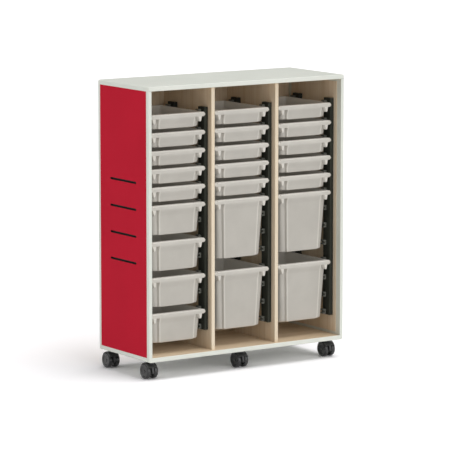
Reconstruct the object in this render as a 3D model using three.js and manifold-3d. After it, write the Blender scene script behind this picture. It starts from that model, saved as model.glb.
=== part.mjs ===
// Classroom tray storage unit: a three-bay case on casters with sliding moulded trays.
// Millimetres, +Z up, front towards -Y, origin on the floor in the middle of what the unit covers.

import * as THREE from 'three';
import { mergeVertices, toCreasedNormals } from 'three/addons/utils/BufferGeometryUtils.js';
import loadManifold from 'manifold-3d';

const wasm = await loadManifold();
wasm.setup();

// Fits
const FIT = 0.3; // gap left where two pieces touch
const RUN = 0.5; // sideways play of a tray in its guides
const SINK = 1; // how far a piece is sunk into the one it is moulded with, and a cutter stands proud

// Boards
const DECK = 22; // top and bottom panels
const SIDE = 18;
const PARTITION = 19;
const BACK = 8;
const LINER = 3;
const INLAY = 3.5; // red sheet let into each side
const BOARD_ROUND = 3; // rounding of the boards' outer edges
const END_ROUND = 10; // rounding of the case's ends along its top and its bottom edges
const PARTITION_SETBACK = 26; // case front to the partitions' front edges
const LINER_SETBACK = 34; // case front to the liners' front edges
const LINER_BACK_MARGIN = 26; // liner to the back panel
const LINER_MARGIN = 15; // liner to the panels above and below
const INLAY_BORDER = 20; // pale border in front of and behind the inlay

// Slots in the sides
const SLOT_COUNT = 4;
const SLOT_PITCH = 130;
const SLOT_LENGTH = 234;
const SLOT_HEIGHT = 11;
const SLOT_POCKET = 8; // depth of the pocket in the board behind the inlay

// Bays and levels
const BAYS = 3;
const BAY_WIDTH = 355; // clear width between two walls
const LEVELS = 13;
const LEVEL_PITCH = 87.5;
const HEAD_ROOM = 120; // top tray's rim to the top panel
const FOOT_ROOM = 114; // lowest level's rim plane to the bottom panel
const TRAY_SETBACK = 45; // case front to the trays' front lip
const BACK_ROOM = 14; // trays to the back panel

// Rails with runner guides
const RAIL_PROJECTION = 20;
const RAIL_DEPTH = 57;
const RAIL_BEHIND_LIP = 11; // tray lip to the front rail
const RAIL_BEFORE_BACK = 51; // back rail to the trays' back edge
const RAIL_ABOVE = 21; // rail end above the top level's rim plane
const RAIL_BELOW = 18; // rail end below the lowest level's rim plane
const GUIDE_PROJECTION = 15.5;
const GUIDE_DEPTH = 27;
const GUIDE_LIP = 7; // thickness of a guide's upper and lower lip
const GUIDE_WEB = 7; // wall behind a guide's groove
const GUIDE_HEADROOM = 2; // groove above a tray's rim

// Trays
const TRAY_DEPTH = 388;
const TRAY_WALL = 2.5;
const TRAY_RIM = 7.7; // height of the rim that runs in the guides
const TRAY_BODY_GAP = 1.7; // tray wall to the guides
const TRAY_DRAFT = THREE.MathUtils.degToRad(2.8);
const TRAY_CORNER = 18;
const TRAY_EDGE = 8; // rounding of the tray's bottom edge
const TRAY_BACK_RIM = 12; // rim behind the back wall
const TRAY_LEVEL_GAP = 12.5; // lost per level between stacked trays
const TRAY_BASE_GAP = 3;
const LIP_REACH = 9.3; // front lip past the side rims
const LIP_HEIGHT = 22;
const LIP_THICKNESS = 4;
const LIP_TO_WALL = 24; // lip front to the front wall
const PANEL_PROUD = 7; // raised middle of the front wall
const PANEL_EDGE = 39; // raised middle to the tray's side wall
const GUSSET_INSET = 8.5; // gusset's middle to the tray's side wall
const GUSSET_TOP = 25;
const GUSSET_FOOT = 11.5;
const GUSSET_DROP = 48; // rim to the gusset's foot
const GUSSET_TOP_REACH = 2; // past the front of the tub's wall, into it
const GUSSET_FOOT_REACH = 7; // the same where the rounded corner falls away

// Levels that a tray of each size takes up, and how many of them fill each bay from the top down
const TRAY_LEVELS = { shallow: 1, double: 2, deep: 4 };
const BAY_TRAYS = [
  { shallow: 5, double: 4 },
  { shallow: 5, deep: 2 },
  { shallow: 5, deep: 2 },
];

// Casters
const CASTER_HEIGHT = 91; // floor to the underside of the case
const CASTER_END_INSET = 47; // stem to the case's ends
const CASTER_EDGE_INSET = 53; // stem to the case's front and back
const CASTER_COLUMNS = 3;
const WHEEL_RADIUS = 37.5;
const WHEEL_WIDTH = 22.5;
const WHEEL_GAP = 17; // between the two wheels of a pair
const WHEEL_TRAIL = 23; // axle behind the stem
const AXLE_RADIUS = 4;
const HOOD_GAP = 2; // wheel to hood
const HOOD_THICKNESS = 3;
const HOOD_WEB = 15; // body between the two wheels
const HOOD_INSET = 4; // hood's sides inside the wheels' outer faces
const HOOD_TAIL = THREE.MathUtils.degToRad(20); // hood's back edge above the axle
const HOOD_NOSE = THREE.MathUtils.degToRad(150); // hood's front edge, past the top
const HUB_RADIUS = 12; // body round the axle
const STEM_RADIUS = 5.5;
const STEM_LENGTH = 17; // in the bottom panel
const BOSS_RADIUS = 12; // collar under the bottom panel
const WHEEL_DISH = 2; // hollow of the wheels' outer faces
const WHEEL_ROUND = 6; // rounding of the treads' outer edges

// Facets
const FLAT = 1e-3; // what strays less than this from a plane is flat
const WELD = 1e-4; // points nearer than this are one
const CREASE = THREE.MathUtils.degToRad(30); // sharper edges than this are shaded as edges
const CORNER_CURVE = 1; // segments of a board's corner
const END_CURVE = 2; // segments of a slot's or a lip's end
const HOOD_CURVE = 3;
const WHEEL_SIDES = 16;
const BORE_SIDES = 8;
const FRONT_CORNER_STEPS = 2; // to a quarter turn of the tray's front corners
const BACK_CORNER_STEPS = 1;

// Sizes that follow
const WALL_PITCH = BAY_WIDTH + PARTITION;
const CASE_WIDTH = BAYS * BAY_WIDTH + (BAYS - 1) * PARTITION + 2 * (LINER + FIT + SIDE);
const CASE_DEPTH = TRAY_SETBACK + TRAY_DEPTH + BACK_ROOM + BACK;
const BOARD_HEIGHT = HEAD_ROOM + (LEVELS - 1) * LEVEL_PITCH + FOOT_ROOM;
const HOOD_RADIUS = WHEEL_RADIUS + HOOD_GAP + HOOD_THICKNESS;
const CASTER_REACH = WHEEL_TRAIL + HOOD_RADIUS * Math.cos(HOOD_TAIL); // from the stem to the hood's back edge
const REAR_OVERHANG = CASTER_REACH - CASTER_EDGE_INSET; // rear casters behind the case
const CASE_FRONT = -(CASE_DEPTH + REAR_OVERHANG) / 2;
const CASE_BACK = CASE_FRONT + CASE_DEPTH;
const CASE_MIDDLE = (CASE_FRONT + CASE_BACK) / 2;
const FLOOR_Z = CASTER_HEIGHT + DECK; // upper face of the bottom panel
const CEILING_Z = FLOOR_Z + BOARD_HEIGHT; // underside of the top panel
const TOP_RIM_Z = CEILING_Z - HEAD_ROOM;
const SIDE_INNER = CASE_WIDTH / 2 - SIDE;
const LIP_Y = CASE_FRONT + TRAY_SETBACK;
const RAIL_FACE = BAY_WIDTH / 2 - FIT - RAIL_PROJECTION; // from the middle of a bay
const GUIDE_FACE = RAIL_FACE - GUIDE_PROJECTION;
const RIM_HALF = RAIL_FACE - GUIDE_WEB - RUN;
const BODY_HALF = GUIDE_FACE - TRAY_BODY_GAP;
const LIP_HALF = RIM_HALF + LIP_REACH;

// Materials
const finish = (color, roughness) => () => new THREE.MeshStandardMaterial({ color, roughness, metalness: 0 });
const paleLaminate = finish(0xd2d4cb, 0.5);
const redSheet = finish(0xae1f31, 0.45);
const maple = finish(0xc9b596, 0.5);
const blackPlastic = finish(0x26261f, 0.5);
const trayPlastic = finish(0xbeb9b1, 0.45);
const hoodPlastic = finish(0x1c1c1c, 0.5);
const wheelRubber = finish(0x3a3a3a, 0.6);

// Solids: closed geometry in, joined or cut geometry out

function solid(geometry) {
  const bare = geometry.clone();
  bare.deleteAttribute('normal');
  bare.deleteAttribute('uv');
  const merged = mergeVertices(bare, WELD);
  return new wasm.Manifold(new wasm.Mesh({
    numProp: 3,
    vertProperties: new Float32Array(merged.attributes.position.array),
    triVerts: new Uint32Array(merged.index.array),
  }));
}

function geometryOf(body) {
  const mesh = body.asOriginal().simplify(FLAT).getMesh();
  const geometry = new THREE.BufferGeometry();
  geometry.setAttribute('position', new THREE.BufferAttribute(new Float32Array(mesh.vertProperties), 3));
  geometry.setIndex(new THREE.BufferAttribute(new Uint32Array(mesh.triVerts), 1));
  return toCreasedNormals(geometry, CREASE);
}

function join(...geometries) {
  return geometryOf(geometries.map(solid).reduce((whole, piece) => whole.add(piece)));
}

function cut(geometry, ...tools) {
  return geometryOf(tools.map(solid).reduce((whole, tool) => whole.subtract(tool), solid(geometry)));
}

function block(x0, x1, y0, y1, z0, z1) {
  const box = new THREE.BoxGeometry(x1 - x0, y1 - y0, z1 - z0);
  return box.translate((x0 + x1) / 2, (y0 + y1) / 2, (z0 + z1) / 2);
}

function polygon(points) {
  return new THREE.Shape(points.map(([x, y]) => new THREE.Vector2(x, y)));
}

// A shape drawn in X and Y, as a board from z0 to z1.
function standing(shape, z0, z1) {
  return new THREE.ExtrudeGeometry(shape, { depth: z1 - z0, bevelEnabled: false, curveSegments: CORNER_CURVE })
    .translate(0, 0, z0);
}

// A shape drawn in X and Z, as a plate from y0 to y1.
function facing(shape, y0, y1) {
  return new THREE.ExtrudeGeometry(shape, { depth: y1 - y0, bevelEnabled: false, curveSegments: END_CURVE })
    .rotateX(Math.PI / 2)
    .translate(0, y1, 0);
}

// A shape drawn in Y and Z, as a plate from x0 to x1.
function sideways(shape, x0, x1, curveSegments) {
  return new THREE.ExtrudeGeometry(shape, { depth: x1 - x0, bevelEnabled: false, curveSegments })
    .rotateX(Math.PI / 2)
    .rotateZ(Math.PI / 2)
    .translate(x0, 0, 0);
}

function slotOutline(x0, x1, y, radius) {
  const shape = new THREE.Shape();
  shape.absarc(x1 - radius, y, radius, -Math.PI / 2, Math.PI / 2);
  shape.absarc(x0 + radius, y, radius, Math.PI / 2, 1.5 * Math.PI);
  return shape;
}

// A closed skin through rings of equal point count, counter-clockwise seen from above, capped at both ends.
function loft(rings) {
  const count = rings[0].length;
  const index = [];
  for (let ring = 0; ring + 1 < rings.length; ring += 1) {
    for (let point = 0; point < count; point += 1) {
      const next = (point + 1) % count;
      const a = ring * count + point;
      const b = ring * count + next;
      index.push(a, b, b + count, a, b + count, a + count);
    }
  }
  const last = (rings.length - 1) * count;
  for (let point = 1; point + 1 < count; point += 1) {
    index.push(0, point + 1, point, last, last + point, last + point + 1);
  }
  const geometry = new THREE.BufferGeometry().setFromPoints(rings.flat());
  geometry.setIndex(index);
  return geometry;
}

// Case boards

// The panel across the case's top, drawn round its middle: edges and outer ends rounded.
function deck() {
  const halfLength = CASE_WIDTH / 2 - BOARD_ROUND;
  const halfThickness = DECK / 2 - BOARD_ROUND;
  const radius = END_ROUND - BOARD_ROUND;
  const outline = new THREE.Shape();
  outline.moveTo(-halfLength, -halfThickness);
  outline.lineTo(halfLength, -halfThickness);
  outline.absarc(halfLength - radius, halfThickness - radius, radius, 0, Math.PI / 2);
  outline.absarc(radius - halfLength, halfThickness - radius, radius, Math.PI / 2, Math.PI);
  return new THREE.ExtrudeGeometry(outline, {
    depth: CASE_DEPTH - 2 * BOARD_ROUND,
    curveSegments: CORNER_CURVE,
    bevelThickness: BOARD_ROUND,
    bevelSize: BOARD_ROUND,
    bevelSegments: 1,
  }).rotateX(Math.PI / 2).translate(0, CASE_BACK - BOARD_ROUND, 0);
}

function topPanel() {
  return deck().translate(0, 0, CEILING_Z + DECK / 2);
}

function casterStems() {
  const places = [];
  const rows = [['front', CASE_FRONT + CASTER_EDGE_INSET], ['rear', CASE_BACK - CASTER_EDGE_INSET]];
  for (const [end, y] of rows) {
    for (let column = 0; column < CASTER_COLUMNS; column += 1) {
      const share = column / (CASTER_COLUMNS - 1) - 0.5;
      const word = ['left', 'middle', 'right'][column];
      places.push({ name: `${end}_${word}_caster`, x: share * (CASE_WIDTH - 2 * CASTER_END_INSET), y });
    }
  }
  return places;
}

// The radius of a faceted hole that lets a round piece of this radius turn in it.
const holeRadius = (radius, sides) => (radius + FIT) / Math.cos(Math.PI / sides);

function upright(radius, x, y, z0, z1) {
  return new THREE.CylinderGeometry(radius, radius, z1 - z0, BORE_SIDES)
    .rotateX(Math.PI / 2)
    .translate(x, y, (z0 + z1) / 2);
}

function bottomPanel() {
  const radius = holeRadius(STEM_RADIUS, BORE_SIDES);
  const sockets = casterStems().map(({ x, y }) =>
    upright(radius, x, y, CASTER_HEIGHT - SINK, CASTER_HEIGHT + STEM_LENGTH + FIT));
  return cut(deck().rotateY(Math.PI).translate(0, 0, CASTER_HEIGHT + DECK / 2), ...sockets);
}

function slotHeights() {
  const middle = (FLOOR_Z + CEILING_Z) / 2;
  return Array.from({ length: SLOT_COUNT }, (_, i) => middle + (i - (SLOT_COUNT - 1) / 2) * SLOT_PITCH);
}

// The board of one side, drawn for the right: rounded front and back edges, recessed outside for its inlay.
function sidePanel(side) {
  const outer = CASE_WIDTH / 2;
  const recess = outer - INLAY - FIT;
  const shape = new THREE.Shape();
  shape.moveTo(SIDE_INNER, CASE_BACK);
  shape.lineTo(SIDE_INNER, CASE_FRONT);
  shape.absarc(outer - BOARD_ROUND, CASE_FRONT + BOARD_ROUND, BOARD_ROUND, -Math.PI / 2, 0);
  shape.lineTo(outer, CASE_FRONT + INLAY_BORDER);
  shape.lineTo(recess, CASE_FRONT + INLAY_BORDER);
  shape.lineTo(recess, CASE_BACK - INLAY_BORDER);
  shape.lineTo(outer, CASE_BACK - INLAY_BORDER);
  shape.absarc(outer - BOARD_ROUND, CASE_BACK - BOARD_ROUND, BOARD_ROUND, 0, Math.PI / 2);
  const board = standing(shape, FLOOR_Z + FIT, CEILING_Z - FIT);
  const pockets = slotHeights().map((z) => block(
    recess - SLOT_POCKET, recess + SINK, CASE_MIDDLE - SLOT_LENGTH / 2, CASE_MIDDLE + SLOT_LENGTH / 2,
    z - SLOT_HEIGHT / 2, z + SLOT_HEIGHT / 2));
  return turned(cut(board, ...pockets), side);
}

// A piece of the right side, or the same turned half round the case's middle for the left.
function turned(geometry, side) {
  if (side > 0) return geometry;
  return geometry.translate(0, -CASE_MIDDLE, 0).rotateZ(Math.PI).translate(0, CASE_MIDDLE, 0);
}

function sideInlay(side) {
  const front = CASE_FRONT + INLAY_BORDER + FIT;
  const back = CASE_BACK - INLAY_BORDER - FIT;
  const foot = FLOOR_Z + 2 * FIT;
  const head = CEILING_Z - 2 * FIT;
  const sheet = polygon([[front, foot], [back, foot], [back, head], [front, head]]);
  const half = SLOT_LENGTH / 2;
  for (const z of slotHeights()) {
    sheet.holes.push(slotOutline(CASE_MIDDLE - half, CASE_MIDDLE + half, z, SLOT_HEIGHT / 2));
  }
  return turned(sideways(sheet, CASE_WIDTH / 2 - INLAY, CASE_WIDTH / 2, END_CURVE), side);
}

function liner(side) {
  const inner = side > 0 ? SIDE_INNER - FIT - LINER : -SIDE_INNER + FIT;
  return block(inner, inner + LINER, CASE_FRONT + LINER_SETBACK, CASE_BACK - BACK - LINER_BACK_MARGIN,
    FLOOR_Z + LINER_MARGIN, CEILING_Z - LINER_MARGIN);
}

function partition(x) {
  return block(x - PARTITION / 2, x + PARTITION / 2, CASE_FRONT + PARTITION_SETBACK, CASE_BACK - BACK - FIT,
    FLOOR_Z + FIT, CEILING_Z - FIT);
}

function backPanel() {
  const half = SIDE_INNER - FIT;
  return block(-half, half, CASE_BACK - BACK, CASE_BACK, FLOOR_Z + FIT, CEILING_Z - FIT);
}

// Rails, drawn round the middle of a bay; side is -1 for its left wall, 1 for its right one

const bayMiddle = (bay) => (bay - (BAYS - 1) / 2) * WALL_PITCH;
const rimHeight = (level) => TOP_RIM_Z - level * LEVEL_PITCH;

function guideOutline(rim, towardsWall) {
  const grooveTop = rim + GUIDE_HEADROOM;
  const grooveFoot = rim - TRAY_RIM - FIT;
  const x = (fromMiddle) => towardsWall * fromMiddle;
  const points = [
    [x(RAIL_FACE + SINK), grooveFoot - GUIDE_LIP], [x(RAIL_FACE + SINK), grooveTop + GUIDE_LIP],
    [x(GUIDE_FACE), grooveTop + GUIDE_LIP], [x(GUIDE_FACE), grooveTop],
    [x(RAIL_FACE - GUIDE_WEB), grooveTop], [x(RAIL_FACE - GUIDE_WEB), grooveFoot],
    [x(GUIDE_FACE), grooveFoot], [x(GUIDE_FACE), grooveFoot - GUIDE_LIP],
  ];
  return polygon(points);
}

function rail(bay, side, y) {
  const wall = side * (RAIL_FACE + RAIL_PROJECTION);
  const face = side * RAIL_FACE;
  const back = y + RAIL_DEPTH;
  const bar = block(Math.min(wall, face), Math.max(wall, face), y, back,
    rimHeight(LEVELS - 1) - RAIL_BELOW, rimHeight(0) + RAIL_ABOVE);
  const guides = [];
  for (let level = 0; level < LEVELS; level += 1) {
    guides.push(facing(guideOutline(rimHeight(level), side), back - GUIDE_DEPTH, back));
  }
  return join(bar, ...guides).translate(bayMiddle(bay), 0, 0);
}

// Trays, drawn with the middle of the front lip's top edge at the origin, opening upwards

function trayRing(half, front, back, corner, z) {
  const ring = [];
  const corners = [
    [half - corner, back - corner, BACK_CORNER_STEPS], [corner - half, back - corner, BACK_CORNER_STEPS],
    [corner - half, front + corner, FRONT_CORNER_STEPS], [half - corner, front + corner, FRONT_CORNER_STEPS],
  ];
  corners.forEach(([x, y, steps], quarter) => {
    for (let step = 0; step <= steps; step += 1) {
      const angle = (quarter + step / steps) * Math.PI / 2;
      ring.push(new THREE.Vector3(x + corner * Math.cos(angle), y + corner * Math.sin(angle), z));
    }
  });
  return ring;
}

// The tub's outline at depth z below its rim, moved inwards by inset.
function tubRing(z, inset) {
  const shrink = inset - z * Math.tan(TRAY_DRAFT);
  return trayRing(BODY_HALF - shrink, LIP_TO_WALL + shrink, TRAY_DEPTH - TRAY_BACK_RIM - shrink,
    TRAY_CORNER - inset, z);
}

function tub(height) {
  const rimFront = LIP_THICKNESS / 2;
  return loft([
    tubRing(-height, TRAY_EDGE),
    tubRing(-height + TRAY_EDGE / 2, TRAY_EDGE / 4),
    tubRing(-TRAY_RIM, 0),
    trayRing(RIM_HALF, rimFront, TRAY_DEPTH, TRAY_EDGE, -TRAY_RIM),
    trayRing(RIM_HALF, rimFront, TRAY_DEPTH, TRAY_EDGE, 0),
    tubRing(0, TRAY_WALL),
    tubRing(-height + TRAY_WALL, TRAY_WALL + TRAY_EDGE / 2),
  ]);
}

function frontLip() {
  return facing(slotOutline(-LIP_HALF, LIP_HALF, -LIP_HEIGHT / 2, LIP_HEIGHT / 2), 0, LIP_THICKNESS);
}

// A tapered rib from the lip's back to the tub's rounded corner, ending inside the tub's wall.
function gusset(side) {
  const x = side * (BODY_HALF - GUSSET_INSET);
  const ring = (width, depth, z) => [
    new THREE.Vector3(x - width / 2, SINK, z), new THREE.Vector3(x + width / 2, SINK, z),
    new THREE.Vector3(x + width / 2, depth, z), new THREE.Vector3(x - width / 2, depth, z),
  ];
  return loft([
    ring(GUSSET_FOOT, LIP_TO_WALL + GUSSET_FOOT_REACH, -GUSSET_DROP),
    ring(GUSSET_TOP, LIP_TO_WALL + GUSSET_TOP_REACH, SINK - LIP_HEIGHT),
  ]);
}

// The raised middle of the front wall, following its draft and its bottom edge.
function frontPanel(height) {
  const ring = (z, inset) => {
    const shrink = -z * Math.tan(TRAY_DRAFT);
    const half = BODY_HALF - PANEL_EDGE - shrink;
    const wall = LIP_TO_WALL + shrink + inset;
    return [
      new THREE.Vector3(-half, wall - PANEL_PROUD, z), new THREE.Vector3(half, wall - PANEL_PROUD, z),
      new THREE.Vector3(half, wall + TRAY_WALL / 2, z), new THREE.Vector3(-half, wall + TRAY_WALL / 2, z),
    ];
  };
  return loft([ring(TRAY_EDGE / 2 - height, TRAY_EDGE / 4), ring(-TRAY_RIM / 2, 0)]);
}

const trayHeight = (levels) => levels * (LEVEL_PITCH - TRAY_LEVEL_GAP) - TRAY_BASE_GAP;

function trayGeometry(levels) {
  const height = trayHeight(levels);
  return join(tub(height), frontLip(), frontPanel(height), gusset(-1), gusset(1));
}

// Casters, drawn with the wheels' axle through the origin, along X

// Two wheels on their axle, standing on a flat of the faceted tread.
function wheelPair() {
  const inner = WHEEL_GAP / 2;
  const outer = inner + WHEEL_WIDTH;
  const halfFacet = Math.PI / WHEEL_SIDES;
  const tread = WHEEL_RADIUS / Math.cos(halfFacet);
  const half = [
    [0, outer - WHEEL_DISH], [tread - WHEEL_ROUND, outer], [tread, outer - WHEEL_ROUND],
    [tread, inner], [AXLE_RADIUS, inner],
  ];
  const profile = [
    ...half.map(([radius, x]) => new THREE.Vector2(radius, -x)),
    ...half.toReversed().map(([radius, x]) => new THREE.Vector2(radius, x)),
  ];
  return join(new THREE.LatheGeometry(profile, WHEEL_SIDES, halfFacet).rotateZ(-Math.PI / 2));
}

// Hood over the wheels, body between them and stem, in one moulding.
function casterHood() {
  const inside = HOOD_RADIUS - HOOD_THICKNESS;
  const arc = new THREE.Shape();
  arc.absarc(0, 0, HOOD_RADIUS, HOOD_TAIL, HOOD_NOSE);
  arc.absarc(0, 0, inside, HOOD_NOSE, HOOD_TAIL, true);
  const halfWidth = WHEEL_GAP / 2 + WHEEL_WIDTH - HOOD_INSET;
  const hood = sideways(arc, -halfWidth, halfWidth, HOOD_CURVE);
  const web = new THREE.Shape();
  web.absarc(0, 0, inside + SINK, HOOD_TAIL, HOOD_NOSE);
  web.lineTo(-inside, 0);
  web.absarc(0, 0, HUB_RADIUS, Math.PI, 2 * Math.PI);
  const body = sideways(web, -HOOD_WEB / 2, HOOD_WEB / 2, HOOD_CURVE);
  const underside = CASTER_HEIGHT - WHEEL_RADIUS;
  const boss = upright(BOSS_RADIUS, 0, -WHEEL_TRAIL, inside - SINK, underside - FIT);
  const stem = upright(STEM_RADIUS, 0, -WHEEL_TRAIL, inside, underside + STEM_LENGTH);
  const radius = holeRadius(AXLE_RADIUS, BORE_SIDES);
  const bore = new THREE.CylinderGeometry(radius, radius, 2 * HOOD_WEB, BORE_SIDES).rotateZ(Math.PI / 2);
  return cut(join(hood, body, boss, stem), bore);
}

// Assembly

const unit = new THREE.Group();

function place(parent, name, geometry, material) {
  const mesh = new THREE.Mesh(geometry, material());
  mesh.name = name;
  parent.add(mesh);
  return mesh;
}

place(unit, 'top_panel', topPanel(), paleLaminate);
place(unit, 'bottom_panel', bottomPanel(), paleLaminate);
for (const [word, side] of [['left', -1], ['right', 1]]) {
  place(unit, `${word}_side_panel`, sidePanel(side), paleLaminate);
  place(unit, `${word}_side_inlay`, sideInlay(side), redSheet);
  place(unit, `${word}_liner`, liner(side), maple);
  place(unit, `${word}_partition`, partition(side * WALL_PITCH / 2), maple);
}
place(unit, 'back_panel', backPanel(), maple);

const railPlaces = [
  ['front', LIP_Y + RAIL_BEHIND_LIP],
  ['back', LIP_Y + TRAY_DEPTH - RAIL_BEFORE_BACK - RAIL_DEPTH],
];
for (let bay = 0; bay < BAYS; bay += 1) {
  for (const [word, side] of [['left', -1], ['right', 1]]) {
    for (const [end, y] of railPlaces) {
      place(unit, `bay_${bay + 1}_${word}_${end}_rail`, rail(bay, side, y), blackPlastic);
    }
  }
}

const trayForms = new Map(Object.entries(TRAY_LEVELS).map(([size, levels]) => [size, trayGeometry(levels)]));
BAY_TRAYS.forEach((counts, bay) => {
  const trays = Object.entries(counts).flatMap(([size, count]) => Array(count).fill(size));
  let level = 0;
  trays.forEach((size, number) => {
    const tray = place(unit, `bay_${bay + 1}_tray_${number + 1}_${size}`, trayForms.get(size), trayPlastic);
    tray.position.set(bayMiddle(bay), LIP_Y, rimHeight(level));
    level += TRAY_LEVELS[size];
  });
});

const hoodForm = casterHood();
const wheelForm = wheelPair();
for (const { name, x, y } of casterStems()) {
  const caster = new THREE.Group();
  caster.position.set(x, y + WHEEL_TRAIL, WHEEL_RADIUS);
  place(caster, `${name}_hood`, hoodForm, hoodPlastic);
  place(caster, `${name}_wheels`, wheelForm, wheelRubber);
  unit.add(caster);
}

export default unit;
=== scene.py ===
"""Classroom tray storage unit: boards, rails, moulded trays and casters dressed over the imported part.

Shapes are worked out in millimetres, in the part's own frame, and go into the meshes in metres.
"""

import math

import bpy
import numpy as np
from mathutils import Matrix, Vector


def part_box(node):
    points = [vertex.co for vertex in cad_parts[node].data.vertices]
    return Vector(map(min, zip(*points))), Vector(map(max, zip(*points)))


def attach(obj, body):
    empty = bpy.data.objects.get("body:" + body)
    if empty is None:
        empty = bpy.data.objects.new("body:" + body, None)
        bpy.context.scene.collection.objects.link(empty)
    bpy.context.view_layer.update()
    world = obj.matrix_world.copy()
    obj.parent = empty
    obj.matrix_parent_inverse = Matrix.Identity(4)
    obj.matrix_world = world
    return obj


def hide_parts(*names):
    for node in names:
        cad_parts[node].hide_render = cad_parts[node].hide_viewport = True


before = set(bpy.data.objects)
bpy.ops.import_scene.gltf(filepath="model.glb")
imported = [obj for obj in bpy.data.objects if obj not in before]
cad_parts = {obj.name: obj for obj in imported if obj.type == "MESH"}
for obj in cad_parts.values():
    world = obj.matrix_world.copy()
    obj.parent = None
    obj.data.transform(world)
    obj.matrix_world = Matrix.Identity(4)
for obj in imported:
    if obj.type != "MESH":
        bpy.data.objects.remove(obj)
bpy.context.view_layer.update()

MM = 0.001

# Camera and light

CAMERA_PLACE = (-8.3230, -12.4056, 2.8715)
CAMERA_TURN = (81.677, 0.0, -33.9243)
LENS = 245.16
SENSOR = 36.0
WORLD_STRENGTH = 0.25
KEY_SUN = {"from": (0.13, -0.95, 0.23), "strength": 1.52, "spread": 60.0}
SIDE_SUN = {"from": (-1.0, 0.35, 0.2), "strength": 1.22, "spread": 60.0}
TOP_SUN = {"from": (0.22, -0.2, 1.0), "strength": 1.72, "spread": 45.0}
CAMERA_REACH = 1000
FLOOR_HALF = 150.0
FLOOR_COLOUR = 0.8
FLOOR_SEEN = (1.19, 1.17, 1.19, 1.0)

# Sizes that the part's solids have too, in millimetres, and angles in degrees

FIT = 0.3
BOARD_ROUND = 3.0
END_ROUND = 10.0
RAIL_PROJECTION = 20.0
GUIDE_DEPTH = 27.0
GUIDE_LIP = 7.0
GUIDE_WEB = 7.0
GUIDE_HEADROOM = 2.0
LEVEL_PITCH = 87.5
RAIL_ABOVE = 21.0
LEVELS = 13
TRAY_DEPTH = 388.0
TRAY_WALL = 2.5
TRAY_RIM = 7.7
TRAY_EDGE = 8.0
TRAY_BACK_RIM = 12.0
RIM_HALF = 149.7
BODY_HALF = 140.0
LIP_HALF = 159.0
LIP_HEIGHT = 22.0
LIP_THICKNESS = 4.0
LIP_TO_WALL = 24.0
GUSSET_INSET = 8.5
GUSSET_TOP_REACH = 2.0
GUSSET_FOOT_REACH = 7.0
SLOT_LENGTH = 234.0
SLOT_HEIGHT = 11.0
SLOT_PITCH = 130.0
SLOT_COUNT = 4
WHEEL_RADIUS = 37.5
WHEEL_WIDTH = 22.5
WHEEL_GAP = 17.0
WHEEL_TRAIL = 23.0
WHEEL_ROUND = 6.0
AXLE_RADIUS = 4.0
HOOD_INSIDE = 39.5
HOOD_RADIUS = 42.5
HOOD_TAIL = 20.0
HOOD_NOSE = 150.0
HOOD_INSET = 4.0
HUB_RADIUS = 12.0
BOSS_RADIUS = 12.0
STEM_RADIUS = 5.5

# Sizes of the dressed shapes alone, in millimetres

FACING = 0.25
TRAY_DRAFT = math.tan(math.radians(2.3))
PANEL_PROUD = 10.5
PANEL_EDGE = 33.0
GUSSET_TOP = 20.0
GUSSET_FOOT = 8.0
GUSSET_TOP_FLARE = 12.0
GUSSET_FOOT_FLARE = 8.0
GUSSET_DROP = 46.0
SLOT_DEPTH = 11.0
TREAD_ROUND = 8.0
HOOD_WEB = 12.0
GUIDE_CORNER = 2.2


# Shapes

AXES = {"x": (1, 2, 0), "y": (2, 0, 1), "z": (0, 1, 2)}
SHARP_ANGLE = 40


def smooth(s):
    """The smooth step s * s * (3 - 2 s), flat outside of 0 to 1."""
    s = np.clip(s, 0, 1)
    return s * s * (3 - 2 * s)


def arc(centre, radius, start, stop, steps):
    """Points centre + radius * (cos a, sin a), a from start to stop in degrees."""
    a = np.radians(np.linspace(start, stop, steps + 1))
    return np.asarray(centre) + radius * np.stack([np.cos(a), np.sin(a)], 1)


def rounded_rectangle(u0, u1, v0, v1, radius, steps):
    """Counter-clockwise outline of four quarter circles joined by straight sides, of one radius or four."""
    a, b, c, d = np.broadcast_to(radius, 4)
    return np.concatenate([
        arc((u1 - a, v0 + a), a, -90, 0, steps),
        arc((u1 - b, v1 - b), b, 0, 90, steps),
        arc((u0 + c, v1 - c), c, 90, 180, steps),
        arc((u0 + d, v0 + d), d, 180, 270, steps),
    ])


def ring(outline, height, along="z"):
    """A flat outline set at one height along an axis."""
    u, v, w = AXES[along]
    points = np.empty((len(outline), 3))
    points[:, u] = outline[:, 0]
    points[:, v] = outline[:, 1]
    points[:, w] = height
    return points


def skin(rings):
    """A closed skin over rings of equal count: quads between neighbours, and a flat face at each end."""
    rings = np.asarray(rings, float)
    count, size = rings.shape[:2]
    index = np.arange(count * size).reshape(count, size)
    low, high = index[:-1], index[1:]
    quads = np.stack([low, np.roll(low, -1, 1), np.roll(high, -1, 1), high], -1).reshape(-1, 4)
    return rings.reshape(-1, 3), [*quads.tolist(), index[0][::-1].tolist(), index[-1].tolist()]


def round_over(edge, steps=4):
    """Pairs (drawn in, climbed) down a rounded edge: edge * (1 - sin a), edge * (1 - cos a)."""
    a = np.radians(np.linspace(0, 90, steps + 1))
    return np.stack([edge * (1 - np.sin(a)), edge * (1 - np.cos(a))], 1)


def slab(low, high, corner, edge, along="z", steps=6):
    """A board: a rounded rectangle carried along an axis, drawn in over a rounded edge at both faces."""
    u, v, w = AXES[along]
    turn = round_over(edge)
    levels = [(low[w] + climb, draw) for draw, climb in turn]
    levels += [(high[w] - climb, draw) for draw, climb in turn[::-1]]
    rings = [
        ring(rounded_rectangle(low[u] + draw, high[u] - draw, low[v] + draw, high[v] - draw,
                               np.maximum(np.subtract(corner, draw), 0.05), steps), height, along)
        for height, draw in levels
    ]
    return skin(rings)


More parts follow.
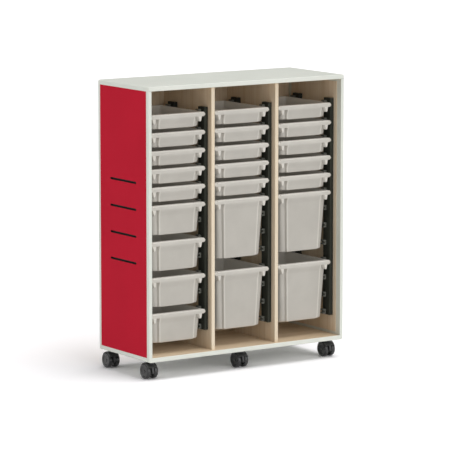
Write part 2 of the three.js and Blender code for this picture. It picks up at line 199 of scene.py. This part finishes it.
def plate(outline, low, high, edge, along):
    """A plate of any convex or star-shaped outline, shrunk towards its middle over the rounded edges."""
    middle = outline.mean(0)
    reach = np.linalg.norm(outline - middle, axis=1, keepdims=True)
    turn = round_over(edge)
    levels = [(low + climb, draw) for draw, climb in turn]
    levels += [(high - climb, draw) for draw, climb in turn[::-1]]
    return skin([
        ring(middle + (outline - middle) * (1 - draw / reach), height, along)
        for height, draw in levels
    ])


def lathe(profile, centre, sides=64):
    """A profile of (x, radius) turned about the X axis through centre."""
    a = np.linspace(0, 2 * np.pi, sides, endpoint=False)
    rings = [np.stack([np.full(sides, x), r * np.cos(a), r * np.sin(a)], 1) for x, r in profile]
    points, faces = skin(rings)
    return points + centre, faces


def upright(profile, centre, sides=48):
    """A profile of (radius, z) turned about the Z axis through centre."""
    circle = arc((0, 0), 1.0, 0, 360 - 360 / sides, sides - 1)
    points, faces = skin([ring(circle * r, z) for r, z in profile])
    return points + centre, faces


def moved(shell, offset):
    """A shell with every point moved by offset."""
    return shell[0] + np.asarray(offset, float), shell[1]


def turned(shell, middle):
    """Half a turn about the upright through middle."""
    points = shell[0] * (-1, -1, 1) + (2 * middle[0], 2 * middle[1], 0)
    return points, shell[1]


def piece(name, shells, finish, body, stands_for=(), painted_light_share=None):
    """One object of several closed shells, riding on a body; the painted light share, if given, is one number for
    each point: how far it takes the lighter colours that stand for light.
    """
    points, faces, count = [], [], 0
    for shell_points, shell_faces in shells:
        points.append(shell_points)
        faces += [[i + count for i in face] for face in shell_faces]
        count += len(shell_points)
    mesh = bpy.data.meshes.new(name)
    mesh.from_pydata(np.concatenate(points) * MM, [], faces)
    mesh.shade_smooth()
    mesh.set_sharp_from_angle(angle=math.radians(SHARP_ANGLE))
    mesh.materials.append(finish)
    if painted_light_share is not None:
        shares = mesh.attributes.new("painted_light_share", "FLOAT", "POINT")
        shares.data.foreach_set("value", painted_light_share.astype(np.float32))
    made = bpy.data.objects.new(name, mesh)
    bpy.context.scene.collection.objects.link(made)
    made.modifiers.new("flat_faces", "WEIGHTED_NORMAL").keep_sharp = True
    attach(made, body)
    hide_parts(*stands_for)
    return made


def box(node):
    """Lowest and highest corner of a part's node, in millimetres."""
    low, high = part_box(node)
    return np.array(low) / MM, np.array(high) / MM


# Finishes

def srgb(*rgb):
    """Linear colour of an 8-bit screen colour."""
    c = np.array(rgb) / 255
    return (*np.where(c > 0.04045, ((c + 0.055) / 1.055) ** 2.4, c / 12.92), 1.0)


class Value:
    """A shader socket in an expression: each operator adds one Math node."""

    def __init__(self, finish, socket):
        self.finish = finish
        self.socket = socket

    def math(self, operation, a, b):
        """One Math node of two values."""
        return self.finish.node("ShaderNodeMath", {"operation": operation}, {0: a, 1: b})

    def __add__(self, other):
        return self.math("ADD", self, other)

    __radd__ = __add__

    def __sub__(self, other):
        return self.math("SUBTRACT", self, other)

    def __rsub__(self, other):
        return self.math("SUBTRACT", other, self)

    def __mul__(self, other):
        return self.math("MULTIPLY", self, other)

    __rmul__ = __mul__


class Finish:
    """One material: a Principled shader and the nodes that feed it."""

    def __init__(self, name):
        self.material = bpy.data.materials.new(name)
        self.material.use_nodes = True
        self.tree = self.material.node_tree
        self.shader = self.tree.nodes["Principled BSDF"]
        self.place = self.node("ShaderNodeTexCoord", output="Object")

    def node(self, kind, settings=None, inputs=None, output=0):
        """A node of this kind: its settings first, then the values or links of its sockets."""
        made = self.tree.nodes.new(kind)
        for key, value in (settings or {}).items():
            setattr(made, key, value)
        for key, value in (inputs or {}).items():
            self.feed(made.inputs[key], value)
        return Value(self, made.outputs[output])

    def feed(self, socket, value):
        """Link a shader value to a socket, or set a plain one on it."""
        if isinstance(value, Value):
            self.tree.links.new(value.socket, socket)
        else:
            socket.default_value = value

    def set(self, **inputs):
        """Feed the shader's own sockets, named with _ for a space."""
        for key, value in inputs.items():
            self.feed(self.shader.inputs[key.replace("_", " ")], value)

    def noise(self, scale, detail=2.0, roughness=0.5, distortion=0.0):
        """Noise of that many features to the metre along X, Y and Z."""
        stretched = self.node("ShaderNodeMapping", None, {"Vector": self.place, "Scale": scale})
        return self.node("ShaderNodeTexNoise", None, {
            "Vector": stretched, "Scale": 1.0, "Detail": detail, "Roughness": roughness,
            "Distortion": distortion})

    def between(self, value, low, high):
        """0 below low, 1 above high, smooth between."""
        return self.node("ShaderNodeMapRange", {"interpolation_type": "SMOOTHSTEP"}, {
            "Value": value, "From Min": low, "From Max": high})

    def mix(self, factor, a, b):
        """Colour a at factor 0, colour b at factor 1."""
        return self.node("ShaderNodeMix", {"data_type": "RGBA"}, {0: factor, 6: a, 7: b}, output=2)

    def bump(self, height, distance, strength=1.0):
        """Tilt the shader's normal by the slope of a height."""
        self.set(Normal=self.node("ShaderNodeBump", None, {
            "Strength": strength, "Distance": distance, "Height": height}))


def even(scale):
    """One scale along all three axes."""
    return (scale, scale, scale)


def moulded(name, light, dark, roughness, grain, depth, specular=0.3, painted_glow=0.0, painted_light_colours=None):
    """Moulded plastic: cloudy tone between two colours, uneven gloss and a fine spark-eroded grain.

    The glow strength is emission that lifts the deep shade: painted light, as the plastic is no lamp. The second,
    lighter pair of colours is painted light, taken where the piece's own painted light share is 1."""
    finish = Finish(name)
    cloud = finish.noise(even(9), detail=3)
    fine = finish.noise(even(grain), detail=3, roughness=0.6)
    tone = finish.between(cloud * 0.7 + fine * 0.3, 0.35, 0.65)
    colour = finish.mix(tone, dark, light)
    if painted_light_colours:
        share = finish.node("ShaderNodeAttribute", {"attribute_name": "painted_light_share"}, output="Fac")
        colour = finish.mix(share, colour, finish.mix(tone, painted_light_colours[1], painted_light_colours[0]))
    finish.set(Base_Color=colour, Roughness=roughness + (cloud - 0.5) * 0.12, Specular_IOR_Level=specular)
    finish.set(Emission_Color=colour, Emission_Strength=painted_glow)
    finish.bump(fine, depth)
    return finish.material


def laminate(name, light, dark, roughness, specular):
    """Pressed laminate: an almost even colour, faint speckle and the dimples of the press plate."""
    finish = Finish(name)
    cloud = finish.noise(even(4), detail=4)
    speckle = finish.noise(even(900), detail=2, roughness=0.7)
    dimple = finish.noise(even(420), detail=1)
    tone = finish.between(cloud * 0.55 + speckle * 0.45, 0.34, 0.66)
    finish.set(Base_Color=finish.mix(tone, dark, light), Roughness=roughness + (dimple - 0.5) * 0.16,
               Specular_IOR_Level=specular)
    finish.bump(dimple * 0.7 + speckle * 0.3, 0.00006)
    return finish.material


PORE_BROWN = srgb(150, 122, 92)


def maple(name, along, light, dark):
    """Maple veneer: broad figure, fibre streaks and short pores, all drawn out along the grain."""
    finish = Finish(name)

    def drawn_out(across, length):
        return tuple(length if axis == along else across for axis in range(3))

    figure = finish.noise(drawn_out(11, 0.8), detail=3, distortion=0.6)
    fibre = finish.noise(drawn_out(170, 3.2), detail=4, roughness=0.62)
    pore = finish.noise(drawn_out(700, 26), detail=1)
    bands = finish.noise(drawn_out(42, 1.2), detail=2, distortion=1.2)
    tone = finish.between(figure * 0.34 + fibre * 0.34 + bands * 0.32, 0.36, 0.66)
    flecked = finish.between(pore, 0.7, 0.78) * 0.35
    wood = finish.mix(tone, light, dark)
    finish.set(Base_Color=finish.mix(flecked, wood, PORE_BROWN), Roughness=0.46 + (fibre - 0.5) * 0.2)
    finish.bump(fibre * 0.6 + pore * 0.4, 0.00008)
    return finish.material


PALE = laminate("pale_laminate", srgb(226, 228, 219), srgb(219, 222, 213), 0.5, 0.3)
RED = laminate("red_laminate", srgb(195, 27, 50), srgb(188, 25, 47), 0.5, 0.03)
UPRIGHT_MAPLE = maple("upright_maple", 2, srgb(235, 218, 194), srgb(218, 196, 166))
LYING_MAPLE = maple("lying_maple", 0, srgb(230, 209, 181), srgb(211, 186, 153))
MAPLE_EDGE = maple("maple_edging", 2, srgb(232, 218, 194), srgb(221, 203, 175))
RAIL_BLACK = moulded("rail_black", srgb(54, 56, 49), srgb(45, 47, 41), 0.5, 1300, 0.00006, 0.15)
GUIDE_GREY = moulded("guide_grey", srgb(114, 115, 107), srgb(100, 101, 94), 0.5, 1300, 0.00005)
# The trays' second, lighter pair of colours is painted light for the lit lip, edge highlights and ribs, and their
# faint emission is painted light that lifts the shade between them.
TRAY_GREY = moulded("tray_grey", srgb(185, 181, 173), srgb(179, 175, 167), 0.4, 1500, 0.00003, 0.35, 0.045,
                    painted_light_colours=(srgb(213, 209, 201), srgb(207, 203, 195)))
SLOT_BLACK = moulded("slot_black", srgb(20, 36, 34), srgb(15, 29, 28), 0.55, 1300, 0.00005, 0.15)
HOOD_BLACK = moulded("hood_black", srgb(56, 56, 56), srgb(46, 46, 46), 0.3, 1600, 0.00003, 0.5)
WHEEL_GREY = moulded("wheel_grey", srgb(32, 32, 32), srgb(26, 26, 26), 0.22, 1200, 0.00003, 0.6)


# Case

top_low, top_high = box("top_panel")
bottom_low, bottom_high = box("bottom_panel")
case_middle = (top_low + top_high) / 2

SHARP = 0.6
top = slab(top_low, top_high, (END_ROUND, END_ROUND, SHARP, SHARP), BOARD_ROUND, "y")
piece("top_board", [top], PALE, "case", ["top_panel"])
bottom = slab(bottom_low, bottom_high, (SHARP, SHARP, END_ROUND, END_ROUND), BOARD_ROUND, "y")
piece("bottom_board", [bottom], PALE, "case", ["bottom_panel"])

back_low, back_high = box("back_panel")
facing_low = np.array([back_low[0], bottom_low[1] + BOARD_ROUND, bottom_high[2] - BOARD_ROUND])
facing_high = np.array([back_high[0], back_low[1], bottom_high[2] + FACING])
piece("bay_floor_veneer", [slab(facing_low, facing_high, 0.5, FACING)], LYING_MAPLE, "case")
ceiling_low = np.array([back_low[0], top_low[1] + BOARD_ROUND, top_low[2] - FACING])
ceiling_high = np.array([back_high[0], back_low[1], top_low[2] + BOARD_ROUND])
piece("bay_ceiling_veneer", [slab(ceiling_low, ceiling_high, 0.5, FACING)], LYING_MAPLE, "case")
piece("back_board", [slab(back_low, back_high, 1.0, 0.8, "y")], UPRIGHT_MAPLE, "case",
      ["back_panel"])

EDGING = 1.2
for word in ("left", "right"):
    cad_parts[f"{word}_side_panel"].data.materials.clear()
    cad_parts[f"{word}_side_panel"].data.materials.append(PALE)
    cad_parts[f"{word}_side_inlay"].data.materials.clear()
    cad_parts[f"{word}_side_inlay"].data.materials.append(RED)
    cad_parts[f"{word}_side_inlay"].visible_diffuse = False
    low, high = box(f"{word}_liner")
    piece(f"{word}_lining", [slab(low, high, 0.8, 0.6, "x")], UPRIGHT_MAPLE, "case",
          [f"{word}_liner"])
    low, high = box(f"{word}_partition")
    board_low = low + (0, EDGING, 0)
    piece(f"{word}_divider", [slab(board_low, high, 0.4, 0.4, "x")], UPRIGHT_MAPLE, "case",
          [f"{word}_partition"])
    band_high = np.array([high[0], low[1] + EDGING, high[2]])
    piece(f"{word}_divider_edging", [slab(low, band_high, 1.0, 0.5, "y")], MAPLE_EDGE, "case")

# Dark cups that line the slots in the sides, drawn for the right side.
slot_middle = (bottom_high[2] + top_low[2]) / 2


def slot_outline(inset):
    """Two half circles joined by straight sides, drawn in by inset."""
    half, radius = SLOT_LENGTH / 2, SLOT_HEIGHT / 2
    return np.concatenate([
        arc((half - radius, 0), radius - inset, -90, 90, 10),
        arc((radius - half, 0), radius - inset, 90, 270, 10),
    ])


def slot_cup(z):
    """A cup: out along the outer wall, over the rim and back in to the floor."""
    face = top_high[0]
    steps = [(0.35, face - SLOT_DEPTH), (0.35, face - 0.6), (0.6, face - 0.25), (1.0, face - 0.15),
             (1.35, face - 0.35), (1.5, face - 0.9), (1.5, face - SLOT_DEPTH + 1.4)]
    return skin([ring(slot_outline(inset) + (case_middle[1], z), x, "x") for inset, x in steps])


slot_heights = slot_middle + (np.arange(SLOT_COUNT) - (SLOT_COUNT - 1) / 2) * SLOT_PITCH
right_cups = [slot_cup(z) for z in slot_heights]
piece("right_slot_cups", right_cups, SLOT_BLACK, "case")
piece("left_slot_cups", [turned(cup, case_middle) for cup in right_cups], SLOT_BLACK, "case")


# Rails and guides

RAIL_RIB = 1.2


def rail_bar(low, high, side):
    """An upright bar: its plan outline has two shallow grooves in the front face, carried up its height."""
    wall, face = (high[0], high[0] - RAIL_PROJECTION) if side > 0 else (low[0], low[0] + RAIL_PROJECTION)
    span = np.array([0.0, 0.06, 0.1, 0.3, 0.34, 0.44, 0.48, 0.68, 0.72, 0.94, 1.0])
    sink = np.array([0.8, 0.0, 0.0, 0.0, 1.0, 1.0, 0.0, 0.0, 1.0, 1.0, 0.8]) * RAIL_RIB
    x0, x1 = min(wall, face), max(wall, face)
    if side < 0:
        span, sink = 1 - span[::-1], sink[::-1]
    front = np.stack([x0 + (x1 - x0) * span, low[1] + sink], 1)
    back = np.array([[x1, high[1] - 0.8], [x1 - 0.8, high[1]], [x0 + 0.8, high[1]], [x0, high[1] - 0.8]])
    outline = np.concatenate([front, back])
    return skin([ring(outline, z) for z in (low[2], high[2])])


def guide_clip(low, high, side, rim):
    """A C-shaped clip: its outline in X and Z has softened corners and is carried back along Y."""
    top, foot = rim + GUIDE_HEADROOM, rim - TRAY_RIM - FIT
    face = RAIL_PROJECTION
    reach = high[0] - low[0]
    c = GUIDE_CORNER
    outline = np.array([
        [face - 1, foot - GUIDE_LIP], [reach - c, foot - GUIDE_LIP], [reach, foot - GUIDE_LIP + c],
        [reach, foot - c], [reach - c, foot], [face + GUIDE_WEB, foot], [face + GUIDE_WEB, top],
        [reach - c, top], [reach, top + c],
        [reach, top + GUIDE_LIP - c], [reach - c, top + GUIDE_LIP], [face - 1, top + GUIDE_LIP],
    ])
    if side > 0:
        outline = np.stack([high[0] - outline[::-1, 0], outline[::-1, 1]], 1)
    else:
        outline = np.stack([low[0] + outline[:, 0], outline[:, 1]], 1)
    y0, y1 = high[1] - GUIDE_DEPTH, high[1]
    return skin([ring(outline[:, ::-1][::-1], y, "y") for y in (y0, y1)])


for bay in (1, 2, 3):
    for word, side in (("left", -1), ("right", 1)):
        for end in ("front", "back"):
            node = f"bay_{bay}_{word}_{end}_rail"
            low, high = box(node)
            piece(f"{node}_bar", [rail_bar(low, high, side)], RAIL_BLACK, "case", [node])
            rims = high[2] - RAIL_ABOVE - LEVEL_PITCH * np.arange(LEVELS)
            clips = [guide_clip(low, high, side, rim) for rim in rims]
            piece(f"{node}_guides", clips, GUIDE_GREY, "case")


# Trays, drawn with the middle of the lip's top front edge at the origin

CORNER_STEPS = 8
TRAY_CORNER = 11.0
FOOT_CORNER = 26.0
TUB_SHARE = 0.985
PANEL_BLEND = 4.0
PANEL_TOP = -13.0
PANEL_RISE = 40.0
PANEL_OVER_LIP = 0.4
LIP_FACE = 7.0
LIP_LEAN = 3.2
LIP_BACK = 6.2
HIGHLIGHT_LINE_WIDTH = 8.0
# Painted light on the trays: how wide and how strong the painted highlight lines are, how much of a rib's face is
# painted lit, and the depths below the rim over which the lit lip's lighter colours fade.
HIGHLIGHT_LINE_SHARE = 0.9
RIB_FACE = 4.0
PAINTED_LIGHT_START = 2.0
PAINTED_LIGHT_END = 32.0
FRONT_STATIONS = PANEL_EDGE + np.array([
    -4.2, -3.4, -2.4, -1.2, 0.0, 1.2, 2.4, 3.4, 4.2, 6.0, 9.0, 12.0, 16.0, 36.0, 61.0])


def tray_outline(half, front, back, corner, proud):
    """Counter-clockwise outline, its front side pushed out by proud between the two panel edges.

    The push is a smooth step of the distance from the tray's side: s * s * (3 - 2 s)."""
    offset = np.concatenate([[corner, (corner + FRONT_STATIONS[0]) / 2], FRONT_STATIONS])
    push = proud * smooth((offset - PANEL_EDGE + PANEL_BLEND) / (2 * PANEL_BLEND))
    left = np.stack([offset - half, front - push], 1)
    right = np.stack([half - offset, front - push], 1)[::-1]
    return np.concatenate([
        left, right,
        arc((half - corner, front + corner), corner, -90, 0, CORNER_STEPS)[1:],
        arc((half - corner, back - corner), corner, 0, 90, CORNER_STEPS),
        arc((corner - half, back - corner), corner, 90, 180, CORNER_STEPS),
        arc((corner - half, front + corner), corner, 180, 270, CORNER_STEPS)[:-1],
    ])


def tub(height):
    """A drafted tub: up the outer wall, out under the rim, over it and down the inner wall to the floor.

    The wall stands in by tan(draft) for each millimetre below the rim, and its corners open out evenly from
    TRAY_CORNER at the rim to FOOT_CORNER at the foot."""
    def wall(z, inset, proud=0.0):
        shrink = inset - z * TRAY_DRAFT
        corner = TRAY_CORNER + (FOOT_CORNER - TRAY_CORNER) * min(-z / height, 1.0)
        back = TRAY_DEPTH - TRAY_BACK_RIM - shrink
        return ring(tray_outline(BODY_HALF - shrink, LIP_TO_WALL + shrink, back, max(corner - inset, 4.0), proud), z)

    def rim(z, inset):
        return ring(tray_outline(RIM_HALF - inset, LIP_THICKNESS + inset, TRAY_DEPTH - inset,
                                 TRAY_EDGE - inset, 0.0), z)

    rings = [wall(-height + climb, draw, PANEL_PROUD) for draw, climb in round_over(TRAY_EDGE, 6)]
    if height / 2 > PANEL_RISE - PANEL_TOP:
        rings += [wall(-height * 0.5, 0.0, PANEL_PROUD)]
    for t in np.linspace(0, 1, 9):
        z = PANEL_TOP - PANEL_RISE * (1 - t)
        reach = LIP_TO_WALL - z * TRAY_DRAFT - LIP_FACE + PANEL_OVER_LIP
        rings += [wall(z, 0.0, PANEL_PROUD + (reach - PANEL_PROUD) * smooth(t))]
    rings += [wall(PANEL_TOP + 1.0, 0.0, reach), wall(PANEL_TOP + 2.0, 0.0)]
    rings += [wall(-TRAY_WALL - 1.6, 0.0), wall(-TRAY_WALL - 0.5, -0.5), wall(-TRAY_WALL, -1.6)]
    rings += [rim(-TRAY_WALL, TRAY_WALL + 0.6), rim(-TRAY_WALL - 0.6, TRAY_WALL)]
    rings += [rim(-TRAY_RIM + 0.4, TRAY_WALL), rim(-TRAY_RIM, TRAY_WALL - 0.4), rim(-TRAY_RIM, 0.6)]
    rings += [rim(-TRAY_RIM + 0.6, 0.0), rim(-2.0, 0.0), rim(-0.9, 0.25), rim(-0.25, 0.9), rim(0.0, 2.0)]
    rings += [wall(0.0, TRAY_WALL - 1.6), wall(-0.3, TRAY_WALL - 0.6), wall(-1.6, TRAY_WALL)]
    rings += [wall(-height * 0.5, TRAY_WALL)]
    fillet = round_over(TRAY_EDGE - 2, 5)[::-1]
    rings += [wall(-height + TRAY_WALL + climb, TRAY_WALL + draw) for draw, climb in fillet]
    rings += [wall(-height + TRAY_WALL, 14.0), wall(-height + TRAY_WALL + 0.9, 16.0)]
    return skin(rings)


def front_lip():
    """A bar with half-round ends: one section in Y and Z, its height following a half circle at each end.

    The front face leans back over its upper part by LIP_LEAN * (1 - s / 0.6) squared, s the share of the
    way down."""
    radius = LIP_HEIGHT / 2
    s = np.linspace(0.0, 1.0, 17)
    front = LIP_LEAN * np.clip(1 - s / 0.6, 0, 1) ** 2 + 1.4 * np.clip((s - 0.88) / 0.12, 0, 1) ** 2
    down = np.stack([front, radius - LIP_HEIGHT * s], 1)
    back = np.array([[LIP_BACK, -radius + 0.8], [LIP_BACK, radius - 1.0], [LIP_BACK - 0.8, radius - 0.3]])
    section = np.concatenate([down, back])
    turn = np.radians(np.linspace(2, 90, 12))
    left = -np.cos(turn) * radius - (LIP_HALF - radius)
    right = (np.cos(turn) * radius + LIP_HALF - radius)[::-1]
    along = np.concatenate([left, right])
    tall = np.concatenate([np.sin(turn), np.sin(turn)[::-1]])
    return skin([ring(section * (1, h) + (LIP_FACE, -radius), x, "x") for x, h in zip(along, tall)])


# Stations of a gusset, as (share of the way down, drawn in)
GUSSET_STATIONS = [
    (0.0, 0.0), (0.3, 0.0), (0.6, 0.0), (0.82, 0.0), (0.9, 0.4), (0.95, 1.2), (0.985, 2.4), (1.0, 3.6)]


def gusset(side):
    """A tapered rib under the lip's end: a narrow face whose two sides open out to the tray's wall.

    Both widths shrink evenly on the way down, and the outline draws in at the foot."""
    x = side * (BODY_HALF - GUSSET_INSET)
    rings = []
    for t, shrink in GUSSET_STATIONS:
        half = (GUSSET_TOP * (1 - t) + GUSSET_FOOT * t) / 2 - shrink
        flare = half + GUSSET_TOP_FLARE * (1 - t) + GUSSET_FOOT_FLARE * t
        z = 1.0 - LIP_HEIGHT - (GUSSET_DROP - LIP_HEIGHT + 1.0) * t
        deep = LIP_TO_WALL + GUSSET_TOP_REACH * (1 - t) + GUSSET_FOOT_REACH * t
        front = LIP_FACE + 0.6 + shrink
        soft = half * 0.3
        rings.append(ring(np.concatenate([
            arc((x - half + soft, front + soft), soft, 210, 270, 3),
            arc((x + half - soft, front + soft), soft, 270, 330, 3),
            [(x + flare, deep), (x - flare, deep)]]), z))
    return skin(rings[::-1])


def painted_lip_light(points):
    """How far a point takes the lighter colours of the lit lip, which are painted light: all of it at the start
    depth below the rim, none at the end depth.
    """
    return smooth((PAINTED_LIGHT_END + points[:, 2]) / (PAINTED_LIGHT_END - PAINTED_LIGHT_START))


def tub_painted_light(points):
    """Painted light on the tub: the lit lip's lighter colours near the rim, and painted highlight lines along the
    panel's two edges and round the foot.
    """
    x, y, z = points.T
    edge = BODY_HALF - PANEL_EDGE + z * TRAY_DRAFT
    in_front = y < LIP_TO_WALL - z * TRAY_DRAFT
    painted_edge_lines = smooth(1 - np.abs(np.abs(x) - edge + HIGHLIGHT_LINE_WIDTH / 2) / HIGHLIGHT_LINE_WIDTH) * in_front
    foot = smooth(1 - (z - z.min()) / TRAY_EDGE)
    return np.maximum(painted_lip_light(points), HIGHLIGHT_LINE_SHARE * np.maximum(painted_edge_lines, foot))


def rib_painted_light(points):
    """Painted light on a rib: all of the lighter colours on the rib's narrow face, as if it caught the light, none
    where its sides meet the wall.
    """
    y = points[:, 1]
    return smooth((LIP_TO_WALL - y) / (LIP_TO_WALL - LIP_FACE - RIB_FACE))


# Painted light shares of the lip and its two ribs, and of each tub, one number for each point.
lip_shells = [front_lip(), gusset(-1), gusset(1)]
lip_painted_light = np.concatenate([
    painted_lip_light(lip_shells[0][0]), rib_painted_light(lip_shells[1][0]), rib_painted_light(lip_shells[2][0])])
for node in sorted(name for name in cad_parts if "_tray_" in name):
    low, high = box(node)
    place = ((low[0] + high[0]) / 2, low[1], high[2])
    shell = tub(TUB_SHARE * (high[2] - low[2]))
    piece(f"{node}_tub", [moved(shell, place)], TRAY_GREY, node, [node], tub_painted_light(shell[0]))
    lip = [moved(part, place) for part in lip_shells]
    piece(f"{node}_lip", lip, TRAY_GREY, node, (), lip_painted_light)


# Casters

HOOD_CROWN = 1.6
# Outer face of a wheel, as (depth below the face, radius)
WHEEL_FACE = [(1.2, 0.05), (1.2, 6.5), (1.6, 7.5), (3.4, 8.2), (3.6, 10.0), (3.2, 20.0), (2.6, 22.5), (0.9, 24.4),
              (0.3, 25.4), (0.0, 26.8)]


def wheel_profile():
    """One wheel from its outer face to its inner one, as (x, radius): hub cap, groove, disc, tread."""
    outer = WHEEL_GAP / 2 + WHEEL_WIDTH
    inner = WHEEL_GAP / 2
    face = [(outer - depth, radius) for depth, radius in WHEEL_FACE]
    tread = arc((outer - WHEEL_ROUND, WHEEL_RADIUS - WHEEL_ROUND), WHEEL_ROUND, 8, 90, 9)
    back = arc((inner + TREAD_ROUND, WHEEL_RADIUS - TREAD_ROUND), TREAD_ROUND, 90, 180, 7)
    return np.concatenate([face, tread, back, [(inner, AXLE_RADIUS)]])


def caster_hood(axle):
    """Hood, body and collar of a caster.

    The hood is a crowned section, lower by HOOD_CROWN * (share of its half width) to the fourth, carried round
    the axle from its tail to its nose."""
    half = WHEEL_GAP / 2 + WHEEL_WIDTH - HOOD_INSET
    across = np.linspace(-1, 1, 15)
    inside = np.stack([across * half, HOOD_INSIDE - HOOD_CROWN * across ** 4], 1)
    outside = np.stack([across * (half - 1.0), HOOD_RADIUS - HOOD_CROWN * across ** 4], 1)
    section = np.concatenate([inside, outside[::-1]])
    angles = np.radians(np.linspace(HOOD_TAIL, HOOD_NOSE, 40))
    x, reach = section.T
    rings = [np.stack([x, reach * math.cos(a), reach * math.sin(a)], 1) for a in angles]
    hood = skin(rings)
    web = np.concatenate([
        arc((0, 0), HOOD_INSIDE + 1, HOOD_TAIL, HOOD_NOSE, 24),
        arc((-HOOD_INSIDE + 8, -2), 8, 175, 300, 10),
        arc((0, 0), HUB_RADIUS, 230, 350, 12),
    ])
    body = plate(web, -HOOD_WEB / 2, HOOD_WEB / 2, 2.2, "x")
    foot = HOOD_INSIDE - 1.0
    head = box("bottom_panel")[0][2] - axle[2] - FIT
    collar = upright([(BOSS_RADIUS, foot), (BOSS_RADIUS, head - 4.0), (BOSS_RADIUS - 0.6, head - 3.0),
                      (BOSS_RADIUS - 2.5, head - 3.0), (BOSS_RADIUS - 2.5, head - 1.2),
                      (BOSS_RADIUS - 0.4, head - 1.0), (BOSS_RADIUS - 0.4, head)], (0, -WHEEL_TRAIL, 0))
    stem = upright([(STEM_RADIUS, foot), (STEM_RADIUS, head + 15.0), (STEM_RADIUS - 1.0, head + 17.0)],
                   (0, -WHEEL_TRAIL, 0))
    return [moved(shell, axle) for shell in (hood, body, collar, stem)]


for node in sorted(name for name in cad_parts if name.endswith("_caster_wheels")):
    caster = node[:-len("_wheels")]
    low, high = box(node)
    axle = (low + high) / 2
    half = wheel_profile()
    pair = np.concatenate([half * (-1, 1), half[::-1]])
    piece(f"{caster}_wheel_pair", [lathe(pair, axle)], WHEEL_GREY, node, [node])
    piece(f"{caster}_housing", caster_hood(axle), HOOD_BLACK, f"{caster}_hood",
          [f"{caster}_hood"])


# Stage, light and camera

def floor_finish():
    """Pale floor; a camera or mirror ray sees it a little brighter, so lit floor is white and shade stays."""
    finish = Finish("studio_floor")
    path = finish.node("ShaderNodeLightPath").socket.node
    seen = (Value(finish, path.outputs["Is Camera Ray"]) + Value(finish, path.outputs["Is Glossy Ray"])
            + Value(finish, path.outputs["Is Transmission Ray"]))
    colour = finish.mix(seen, (FLOOR_COLOUR, FLOOR_COLOUR, FLOOR_COLOUR, 1), FLOOR_SEEN)
    diffuse = finish.node("ShaderNodeBsdfDiffuse", None, {"Color": colour})
    finish.feed(finish.tree.nodes["Material Output"].inputs["Surface"], diffuse)
    return finish.material


floor_mesh = bpy.data.meshes.new("studio_floor")
corners = [(-FLOOR_HALF, -FLOOR_HALF, 0), (FLOOR_HALF, -FLOOR_HALF, 0), (FLOOR_HALF, FLOOR_HALF, 0),
           (-FLOOR_HALF, FLOOR_HALF, 0)]
floor_mesh.from_pydata(corners, [], [(0, 1, 2, 3)])
floor_mesh.materials.append(floor_finish())
floor = bpy.data.objects.new("studio_floor", floor_mesh)
bpy.context.scene.collection.objects.link(floor)

world = bpy.data.worlds.new("studio")
world.use_nodes = True
background = world.node_tree.nodes["Background"]
background.inputs["Color"].default_value = (1, 1, 1, 1)
path = world.node_tree.nodes.new("ShaderNodeLightPath")
level = world.node_tree.nodes.new("ShaderNodeMix")
level.inputs[2].default_value = WORLD_STRENGTH
level.inputs[3].default_value = 1.0
world.node_tree.links.new(path.outputs["Is Camera Ray"], level.inputs[0])
world.node_tree.links.new(level.outputs[0], background.inputs["Strength"])
bpy.context.scene.world = world


def sun(name, settings):
    """A sun lamp turned to shine from a direction towards the origin."""
    lamp = bpy.data.lights.new(name, "SUN")
    lamp.energy = settings["strength"]
    lamp.angle = math.radians(settings["spread"])
    made = bpy.data.objects.new(name, lamp)
    bpy.context.scene.collection.objects.link(made)
    x, y, z = settings["from"]
    made.rotation_euler = (math.atan2(math.hypot(x, y), z), 0, math.atan2(y, x) + math.pi / 2)


sun("key_light", KEY_SUN)
sun("side_light", SIDE_SUN)
sun("top_light", TOP_SUN)

camera = bpy.data.cameras.new("camera")
camera.lens = LENS
camera.sensor_width = SENSOR
camera.clip_end = CAMERA_REACH
eye = bpy.data.objects.new("camera", camera)
eye.location = CAMERA_PLACE
eye.rotation_euler = [math.radians(a) for a in CAMERA_TURN]
bpy.context.scene.collection.objects.link(eye)
bpy.context.scene.camera = eye
bpy.context.scene.view_settings.view_transform = "Standard"
